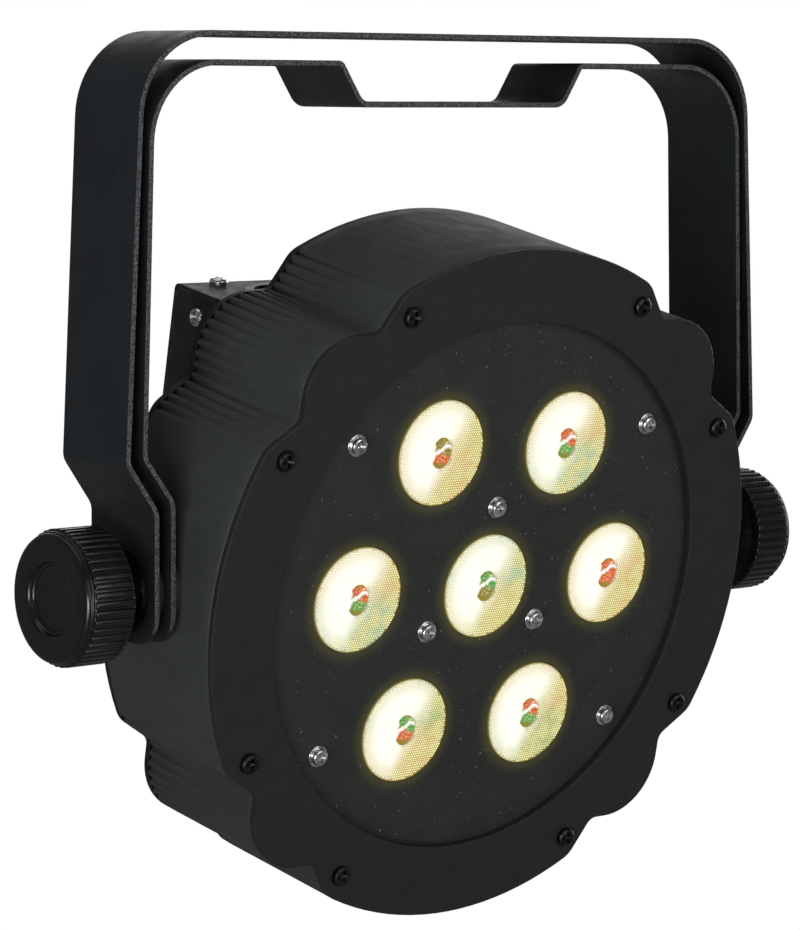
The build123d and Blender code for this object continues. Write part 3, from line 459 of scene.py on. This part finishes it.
# ------------------------------------------------------------- mesh helpers ----
def new_piece(name, vertices, faces, finishes, place=Matrix.Identity(4), crease=35):
    mesh = bpy.data.meshes.new(name)
    mesh.from_pydata(vertices, [], faces)
    for finish in finishes:
        mesh.materials.append(finish)
    smooth(mesh, crease)
    piece = bpy.data.objects.new(name, mesh)
    bpy.context.scene.collection.objects.link(piece)
    piece.matrix_world = place
    return piece


def smooth(mesh, crease):
    """Smooth shading, with edges sharper than crease degrees kept sharp."""
    mesh.shade_smooth()
    mesh.set_sharp_from_angle(angle=radians(crease))


def clean(mesh):
    """Join points that coincide and turn all faces outward."""
    form = bmesh.new()
    form.from_mesh(mesh)
    bmesh.ops.remove_doubles(form, verts=form.verts, dist=1e-7)
    bmesh.ops.recalc_face_normals(form, faces=form.faces)
    form.to_mesh(mesh)
    form.free()


def softened(points, radius, steps=4):
    """The outline with each inner corner turned into a small curve."""
    line = [points[0]]
    for before, corner, after in zip(points, points[1:], points[2:]):
        corner_at = Vector(corner)
        to_before = Vector(before) - corner_at
        to_after = Vector(after) - corner_at
        reach = min(radius, 0.45 * to_before.length, 0.45 * to_after.length)
        start = corner_at + to_before.normalized() * reach
        end = corner_at + to_after.normalized() * reach
        for k in range(steps + 1):
            t = k / steps
            line.append(tuple((1 - t) ** 2 * start + 2 * t * (1 - t) * corner_at + t ** 2 * end))
    return line + [points[-1]]


def lathe(outline, steps, shape=None):
    """Turn an outline of (radius, height) about Z; shape(radius, height, angle) varies the radius."""
    vertices, faces = [], []
    for r, z in outline:
        for k in range(steps):
            angle = 2 * pi * k / steps
            reach = shape(r, z, angle) if shape else r
            vertices.append((reach * cos(angle), reach * sin(angle), z))
    for ring in range(len(outline) - 1):
        for k in range(steps):
            a, b = ring * steps + k, ring * steps + (k + 1) % steps
            faces.append((a, b, b + steps, a + steps))
    return vertices, faces


def apply_modifiers(piece):
    bpy.context.view_layer.update()
    evaluated = piece.evaluated_get(bpy.context.evaluated_depsgraph_get())
    mesh = bpy.data.meshes.new_from_object(evaluated)
    piece.modifiers.clear()
    old = piece.data
    piece.data = mesh
    bpy.data.meshes.remove(old)


def rounded_copy(node, width):
    """A copy of a CAD node whose sharp edges are rounded by width."""
    source = frame["nodes"][node]
    mesh = source.data.copy()
    form = bmesh.new()
    form.from_mesh(mesh)
    bmesh.ops.remove_doubles(form, verts=form.verts, dist=2e-6)
    bmesh.ops.dissolve_limit(form, angle_limit=radians(0.4), verts=form.verts, edges=form.edges)
    form.to_mesh(mesh)
    form.free()
    if "custom_normal" in mesh.attributes:
        mesh.attributes.remove(mesh.attributes["custom_normal"])
    piece = bpy.data.objects.new(node + "_finished", mesh)
    bpy.context.scene.collection.objects.link(piece)
    bevel = piece.modifiers.new("round", "BEVEL")
    bevel.limit_method = "ANGLE"
    bevel.angle_limit = radians(38)
    bevel.width = width
    bevel.segments = 2
    smooth(mesh, 180)
    piece.modifiers.new("flat_faces", "WEIGHTED_NORMAL").weight = 100
    apply_modifiers(piece)
    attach(piece, source["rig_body"])
    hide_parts(node)
    return piece


# ------------------------------------------------------------------- casing ----
def post_places():
    """The eight screw posts, in pairs beside each diagonal."""
    angles = [radians(diagonal + side)
              for diagonal in range(45, 360, 90) for side in (-POST_ANGLE, POST_ANGLE)]
    return [(POST_RING * cos(a), POST_RING * sin(a)) for a in angles]


def head_outline(pitch):
    """Evenly spaced points on the outline of the head, with their outward normals."""
    cover = frame["nodes"]["rear_cover"]
    to_head = HEAD.inverted() @ cover.matrix_world
    corners = set()
    for vertex in cover.data.vertices:
        x, y, z = to_head @ vertex.co
        clear_of_posts = min(hypot(x - px, z - pz) for px, pz in post_places()) > 2.5 * MM
        if y < CASING_BACK + 0.1 * MM and hypot(x, z) > 88 * MM and clear_of_posts:
            corners.add((round(x, 6), round(z, 6)))
    corners = [Vector(c) for c in sorted(corners, key=lambda c: atan2(c[1], c[0]))]
    lengths = [(b - a).length for a, b in zip(corners, corners[1:] + corners[:1])]
    count = round(sum(lengths) / pitch)
    step = sum(lengths) / count
    points, corner, passed = [], 0, 0.0
    for k in range(count):
        while passed + lengths[corner] < k * step:
            passed += lengths[corner]
            corner += 1
        start, end = corners[corner], corners[(corner + 1) % len(corners)]
        points.append(start.lerp(end, (k * step - passed) / lengths[corner]))
    normals = []
    for k in range(count):
        ahead = points[(k + 3) % count] - points[k - 3]
        normals.append(Vector((ahead.y, -ahead.x)).normalized())
    return points, normals, step


def rib_waves(points, step):
    """For each outline point, 0 on a rib's crest or a plain wall and 1 in a groove between ribs."""
    waves = [0.0] * len(points)
    count = len(points)
    for diagonal in (-135, -45, 45, 135):
        middle = min(range(count), key=lambda k: abs(atan2(points[k].y, points[k].x) - radians(diagonal)))
        edge = middle
        while abs(atan2(points[edge].y, points[edge].x) - radians(diagonal)) < RIB_SPREAD:
            edge += 1
        ribs = round((edge - middle) * step / RIB_PITCH)
        reach = int(ribs * RIB_PITCH / step)
        for k in range(-reach, reach + 1):
            wave = 0.5 - 0.5 * cos(2 * pi * (k * step / RIB_PITCH))
            waves[(middle + k) % count] = wave ** 1.5
    return waves


def casing_rings():
    """Depth, distance outside the plain outline and share of the rib depth of each ring of the wall."""
    depth = CASING_BACK - CASING_FRONT
    rings = [(CASING_FRONT, -SEAM, 0.0), (CASING_FRONT + 0.3 * MM, -SEAM, 0.0),
             (CASING_FRONT + 0.45 * MM, -0.08 * MM, 0.0)]
    for k in range(WALL_RINGS):
        share = k / (WALL_RINGS - 1)
        y = CASING_FRONT + 0.7 * MM + share * (depth - 1.0 * MM)
        rings.append((y, CASING_FLARE * share, RIB_DEPTH[0] + (RIB_DEPTH[1] - RIB_DEPTH[0]) * share ** 1.7))
    rings.append((CASING_BACK - 0.1 * MM, CASING_FLARE - 0.06 * MM, RIB_DEPTH[1]))
    rings.append((CASING_BACK, CASING_FLARE - 0.25 * MM, RIB_DEPTH[1]))
    rings.append((CASING_BACK, -CASING_WALL, 0.0))
    rings.append((CASING_FRONT, -CASING_WALL, 0.0))
    return rings


def tube(inner, outer, start, end, steps):
    """Closed ring along +Z with a rounded outer end."""
    rounding = 0.3 * MM
    outline = [(inner, start), (outer, start), (outer, end - rounding),
               (outer - 0.3 * rounding, end - 0.3 * rounding), (outer - rounding, end),
               (inner, end), (inner, start)]
    return lathe(outline, steps)


def make_casing():
    """Ribbed wall of the head, with its screw posts and pivot bosses."""
    points, normals, step = head_outline(OUTLINE_STEP)
    waves = rib_waves(points, step)
    rings = casing_rings()
    count = len(points)
    vertices, faces = [], []
    for y, outside, groove in rings:
        for point, normal, wave in zip(points, normals, waves):
            at = point + normal * (outside - groove * wave)
            vertices.append((at.x, y, at.y))
    for ring in range(len(rings)):
        this, following = ring * count, (ring + 1) % len(rings) * count
        for k in range(count):
            after = (k + 1) % count
            faces.append((this + k, this + after, following + after, following + k))
    extras = [(Matrix.Translation((x, 0, z)) @ Matrix.Rotation(-pi / 2, 4, "X"),
               tube(SCREW_BORE, POST_RADIUS, CASING_FRONT, CASING_BACK, 24)) for x, z in post_places()]
    for sign in (-1, 1):
        turn = Matrix.Translation((0, PIVOT_BACK, 0)) @ Matrix.Rotation(sign * pi / 2, 4, "Y")
        extras.append((turn, tube(BOSS_BORE, BOSS_RADIUS, BOSS_ROOT, BOSS_FACE, 72)))
    for turn, (more_vertices, more_faces) in extras:
        start = len(vertices)
        vertices += [tuple(turn @ Vector(v)) for v in more_vertices]
        faces += [tuple(start + v for v in face) for face in more_faces]
    casing = new_piece("casing_shell", vertices, faces, [FINISHES["casing_plastic"]], HEAD)
    clean(casing.data)
    smooth(casing.data, 45)
    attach(casing, "head")
    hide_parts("casing")


def widen(piece, share):
    """Scale a finished copy of a node across the head's own axis."""
    turn = HEAD.inverted() @ piece.matrix_world
    piece.data.transform(turn.inverted() @ Matrix.Diagonal((share, 1, share, 1)) @ turn)


# -------------------------------------------------------------------- knobs ----
KNOB_OUTLINE = [  # radius and place along the knob line, in mm
    (9.5, 105.5), (10.5, 108.5), (15.4, 111.7), (16.6, 112.1), (17.9, 112.5), (17.93, 117.5), (17.93, 124.2),
    (17.0, 124.45), (17.25, 124.8), (17.2, 125.25), (16.65, 125.45), (16.85, 125.95), (16.4, 126.5),
    (15.7, 126.8), (10.3, 126.8), (9.66, 126.4), (9.3, 125.4), (8.6, 125.05), (8.25, 125.3), (7.9, 125.05),
    (0.0, 125.0)]


def fluted(r, z, angle):
    """Rim radius with a narrow groove between every two flat-topped teeth."""
    low, high = KNOB_RIM
    inside = min(1, max(0, (z - low) / (0.3 * MM))) * min(1, max(0, (high - z) / (0.2 * MM)))
    phase = (angle * KNOB_FLUTES / (2 * pi)) % 1 - 0.5
    groove = min(1, max(0, (abs(phase) - 0.27) / 0.12))
    crown = FLUTE_CROWN * (phase / 0.3) ** 2
    share = groove * groove * (3 - 2 * groove)
    return r - inside * (share * FLUTE_DEPTH + (1 - share) * crown)


def make_knob(side, sign):
    outline = [(r * MM, z * MM) for r, z in KNOB_OUTLINE]
    outline = softened(outline, 0.35 * MM)
    vertices, faces = lathe(outline, KNOB_FLUTES * FLUTE_STEPS, fluted)
    place = Matrix.Translation(PIVOT) @ Matrix.Rotation(sign * pi / 2, 4, "Y")
    knob = new_piece(f"knob_{side}_grip", vertices, faces, [FINISHES["knob_plastic"]], place)
    clean(knob.data)
    smooth(knob.data, 40)
    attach(knob, f"knob_{side}")
    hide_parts(f"knob_{side}")


# ------------------------------------------------------------------- lenses ----
LENS_LOOKS = [  # eye above and below, beads above and below
    (GREEN, OLIVE, TEAL, OCHRE), (RED, RED, ORANGE, ORANGE), (RED, GREEN, ORANGE, TEAL),
    (OLIVE, RED, OCHRE, ORANGE), (RED, GREEN, ORANGE, TEAL), (GREEN, RED, GREEN, ORANGE),
    (RED, GREEN, ORANGE, GREEN)]


def cell_centres():
    """Hexagonal grid of bead centres between the eye and the rim."""
    side = CELL_PITCH / 3 ** 0.5
    reach = LENS_RADIUS - 0.1 * MM
    rows = int(reach / (1.5 * side)) + 1
    columns = int(reach / CELL_PITCH) + 1
    centres = []
    for row in range(-rows, rows + 1):
        for column in range(-columns, columns + 1):
            x = (column + 0.5 * (row % 2)) * CELL_PITCH
            z = row * 1.5 * side
            if hypot(x / EYE_NARROW, z) > EYE_RADIUS + side and hypot(x, z) < reach - side:
                centres.append((x, z))
    return centres, side


def squeeze(r, z, angle):
    """Radius of the rings around the eye, which is taller than it is wide."""
    share = min(1, max(0, (LENS_RADIUS - r) / (LENS_RADIUS - EYE_RADIUS)))
    oval = EYE_NARROW / hypot(EYE_NARROW * sin(angle), cos(angle))
    return r * (1 + share * (oval - 1))


def lens_mesh():
    """Lens disc with its beads, facing -Y, with the light leaving at y = 0."""
    outline = [(LENS_RADIUS, LENS_DEPTH), (LENS_RADIUS, 0.45 * MM),
               (LENS_RADIUS - 0.10 * MM, 0.18 * MM), (LENS_RADIUS - 0.30 * MM, 0.03 * MM),
               (LENS_RADIUS - 0.5 * MM, 0.0), (EYE_RADIUS + 0.4 * MM, 0.0),
               (EYE_RADIUS + 0.12 * MM, 0.05 * MM), (EYE_RADIUS, 0.2 * MM)]
    eye = [(EYE_RADIUS, 0.2 * MM), (EYE_RADIUS - 0.2 * MM, 0.6 * EYE_DEPTH),
           (EYE_RADIUS - 0.5 * MM, EYE_DEPTH), (2.6 * MM, EYE_DEPTH - 0.2 * MM),
           (1.3 * MM, EYE_DEPTH - 0.35 * MM), (0.0, EYE_DEPTH - 0.4 * MM)]
    vertices, faces = lathe(outline, 96, squeeze)
    eye_vertices, eye_faces = lathe(eye, 96, squeeze)
    start = len(vertices)
    vertices += eye_vertices
    faces += [tuple(start + v for v in face) for face in eye_faces]
    materials = [0] * (len(faces) - len(eye_faces)) + [1] * len(eye_faces)
    vertices = [(x, z, y) for x, y, z in vertices]
    centres, side = cell_centres()
    for x, z in centres:
        first = len(vertices)
        vertices.append((x, -CELL_RISE, z))
        for k in range(6):
            angle = radians(60 * k + 30)
            vertices.append((x + side * cos(angle), 0.0, z + side * sin(angle)))
        for k in range(6):
            faces.append((first, first + 1 + k, first + 1 + (k + 1) % 6))
            materials.append(0)
    return vertices, faces, materials


def make_lenses():
    vertices, faces, materials = lens_mesh()
    for k, ((x, z), looks) in enumerate(zip(lens_places(), LENS_LOOKS)):
        place = HEAD @ Matrix.Translation((x, -LENS_PROUD + CELL_RISE, z))
        finishes = [lens_face(f"lens_glow_{k}", *looks[2:]), lens_eye(f"lens_eye_{k}", *looks[:2])]
        lens = new_piece(f"beaded_lens_{k}", vertices, faces, finishes, place)
        lens.data.polygons.foreach_set("material_index", materials)
        smooth(lens.data, 50)
        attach(lens, "head")
        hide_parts(f"lens_{k}")


# ---------------------------------------------------------------- back face ----
DIGITS = " 001"
SEGMENTS = {" ": "", "0": "abcdef", "1": "bc"}


def segment_bar(x, z, length, width, upright):
    """Six-sided bar outline with pointed ends."""
    half, tip = length / 2, length / 2 - width / 2
    points = [(-half, 0), (-tip, width / 2), (tip, width / 2),
              (half, 0), (tip, -width / 2), (-tip, -width / 2)]
    return [(x + (b if upright else a), z + (a if upright else b)) for a, b in points]


def make_display():
    """Four seven-segment digits behind the window; three of them are lit."""
    wide, tall, bar = 6.0 * MM, 6.0 * MM, 1.1 * MM
    places = {"a": (0, tall, False), "b": (wide / 2, tall / 2, True), "c": (wide / 2, -tall / 2, True),
              "d": (0, -tall, False), "e": (-wide / 2, -tall / 2, True), "f": (-wide / 2, tall / 2, True),
              "g": (0, 0, False)}
    lit = lit_segment("segment_lit", (1.0, 0.05, 0.02, 1), 3.0)
    # unlit segments keep a faint painted glow
    dark = lit_segment("segment_dark", (0.10, 0.012, 0.01, 1), 0.05)
    vertices, faces, materials = [], [], []
    for index, digit in enumerate(DIGITS):
        centre = (1.5 - index) * DIGIT_PITCH
        for name, (dx, dz, upright) in places.items():
            length = (tall if upright else wide) - 0.3 * MM
            outline = segment_bar(centre - dx, dz, length, bar, upright)
            first = len(vertices)
            for depth in (0.0, SEGMENT_THICK):
                vertices += [(x, depth, z) for x, z in outline]
            ring = range(6)
            faces.append([first + 6 + k for k in ring])
            faces += [(first + k, first + (k + 1) % 6, first + 6 + (k + 1) % 6, first + 6 + k) for k in ring]
            materials += [0 if name in SEGMENTS[digit] else 1] * 7
    place = HEAD @ Matrix.Translation((0, BOX_BACK - SHEET, DISPLAY_Z))
    digits = new_piece("display_digits", vertices, faces, [lit, dark], place)
    digits.data.polygons.foreach_set("material_index", materials)
    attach(digits, "head")


# -------------------------------------------------------------------- stage ----
FLOOR_DROP = 0.14
FLOOR_RADIUS = 4.0
FLOOR_FADE = (0.35, 1.5)    # how far out the floor starts and ends fading into the backdrop

SOFTBOXES = {  # place, width and height in metres, and watts
    "low_softbox": ((-1.3, -0.85, -0.65), (1.0, 1.1), 26),
    "front_softbox": ((0.3, -1.9, 0.4), (1.4, 1.2), 9.5),
    "top_softbox": ((-0.2, 0.1, 1.3), (1.4, 1.0), 3.5),
    "back_softbox": ((1.0, 1.5, 0.4), (1.1, 1.1), 6),
    "right_softbox": ((1.6, 0.4, 0.1), (1.0, 1.2), 14)}

CAMERA_PLACE = (-0.6510, -0.7631, -0.0134)
CAMERA_TURN = (84.037, -0.340, -39.979)
CAMERA_LENS = 141.26


def make_floor():
    """Pale floor below the object, dimmer to its reflections than to the eye."""
    lowest = CAD_BOX[0][2]
    bpy.ops.mesh.primitive_circle_add(vertices=128, radius=FLOOR_RADIUS, fill_type="NGON",
                                      location=(0, 0, lowest - FLOOR_DROP))
    floor = bpy.context.object
    floor.name = "floor"
    p = Paint("pale_floor")
    tone = p.mix(p.step(p.noise(0.4, 3), 0.3, 0.7), grey(0.86), grey(0.9))
    diffuse = p.add("ShaderNodeBsdfDiffuse", {"Color": tone})
    bright = p.add("ShaderNodeEmission", {"Color": tone, "Strength": 1.2})
    seen = p.add("ShaderNodeMixShader", {0: 0.93, 1: diffuse.outputs[0], 2: bright.outputs[0]})
    dull = p.add("ShaderNodeBsdfDiffuse", {"Color": grey(0.35)})
    path = p.add("ShaderNodeLightPath")
    is_seen = path.outputs["Is Camera Ray"]
    floor_skin = p.add("ShaderNodeMixShader", {0: is_seen, 1: dull.outputs[0], 2: seen.outputs[0]})
    clear_floor = p.add("ShaderNodeBsdfTransparent")
    x, y = p.axis("X"), p.axis("Y")
    away = p.math("SQRT", p.math("ADD", p.math("MULTIPLY", x, x), p.math("MULTIPLY", y, y)))
    fade = p.step(away, *FLOOR_FADE)
    blend = p.add("ShaderNodeMixShader", {0: fade, 1: floor_skin.outputs[0], 2: clear_floor.outputs[0]})
    p.add("ShaderNodeOutputMaterial", {"Surface": blend.outputs[0]})
    floor.data.materials.append(p.material)


def make_world():
    """White backdrop that lights the object only dimly."""
    world = bpy.data.worlds.new("studio")
    world.use_nodes = True
    tree = world.node_tree
    tree.nodes.clear()
    seen = tree.nodes.new("ShaderNodeBackground")
    seen.inputs["Color"].default_value = (1, 1, 1, 1)
    seen.inputs["Strength"].default_value = 1.0
    fill = tree.nodes.new("ShaderNodeBackground")
    fill.inputs["Color"].default_value = (0.92, 0.96, 1.0, 1)
    fill.inputs["Strength"].default_value = 0.14
    path = tree.nodes.new("ShaderNodeLightPath")
    blend = tree.nodes.new("ShaderNodeMixShader")
    output = tree.nodes.new("ShaderNodeOutputWorld")
    tree.links.new(path.outputs["Is Camera Ray"], blend.inputs[0])
    tree.links.new(fill.outputs[0], blend.inputs[1])
    tree.links.new(seen.outputs[0], blend.inputs[2])
    tree.links.new(blend.outputs[0], output.inputs[0])
    bpy.context.scene.world = world


def make_lights():
    for name, (place, size, power) in SOFTBOXES.items():
        data = bpy.data.lights.new(name, "AREA")
        data.shape = "RECTANGLE"
        data.size, data.size_y = size
        data.energy = power
        light = bpy.data.objects.new(name, data)
        light.location = place
        light.rotation_euler = (PIVOT - Vector(place)).to_track_quat("-Z", "Y").to_euler()
        bpy.context.scene.collection.objects.link(light)


def make_camera():
    data = bpy.data.cameras.new("camera")
    data.lens = CAMERA_LENS
    data.sensor_width = 36
    data.clip_end = 50
    camera = bpy.data.objects.new("camera", data)
    camera.location = CAMERA_PLACE
    camera.rotation_euler = [radians(angle) for angle in CAMERA_TURN]
    bpy.context.scene.collection.objects.link(camera)
    bpy.context.scene.camera = camera


# -------------------------------------------------------------------- build ----
EDGE_ROUNDING = {  # in mm
    "outer_bracket": 0.22, "inner_bracket": 0.22, "front_bezel": 0.3, "face_plate": 0.25,
    "box_cover": 0.25, "box_frame": 0.2, "rear_cover": 0.2}

make_camera()
dress_frame()
copies = {node: rounded_copy(node, width * MM) for node, width in EDGE_ROUNDING.items()}
widen(copies["rear_cover"], 1 + (CASING_FLARE - 0.1 * MM) / COVER_REACH)
make_casing()
for side, sign in (("left", -1), ("right", 1)):
    make_knob(side, sign)
make_lenses()
make_display()
make_floor()
make_world()
make_lights()
bpy.context.scene.view_settings.view_transform = "Standard"
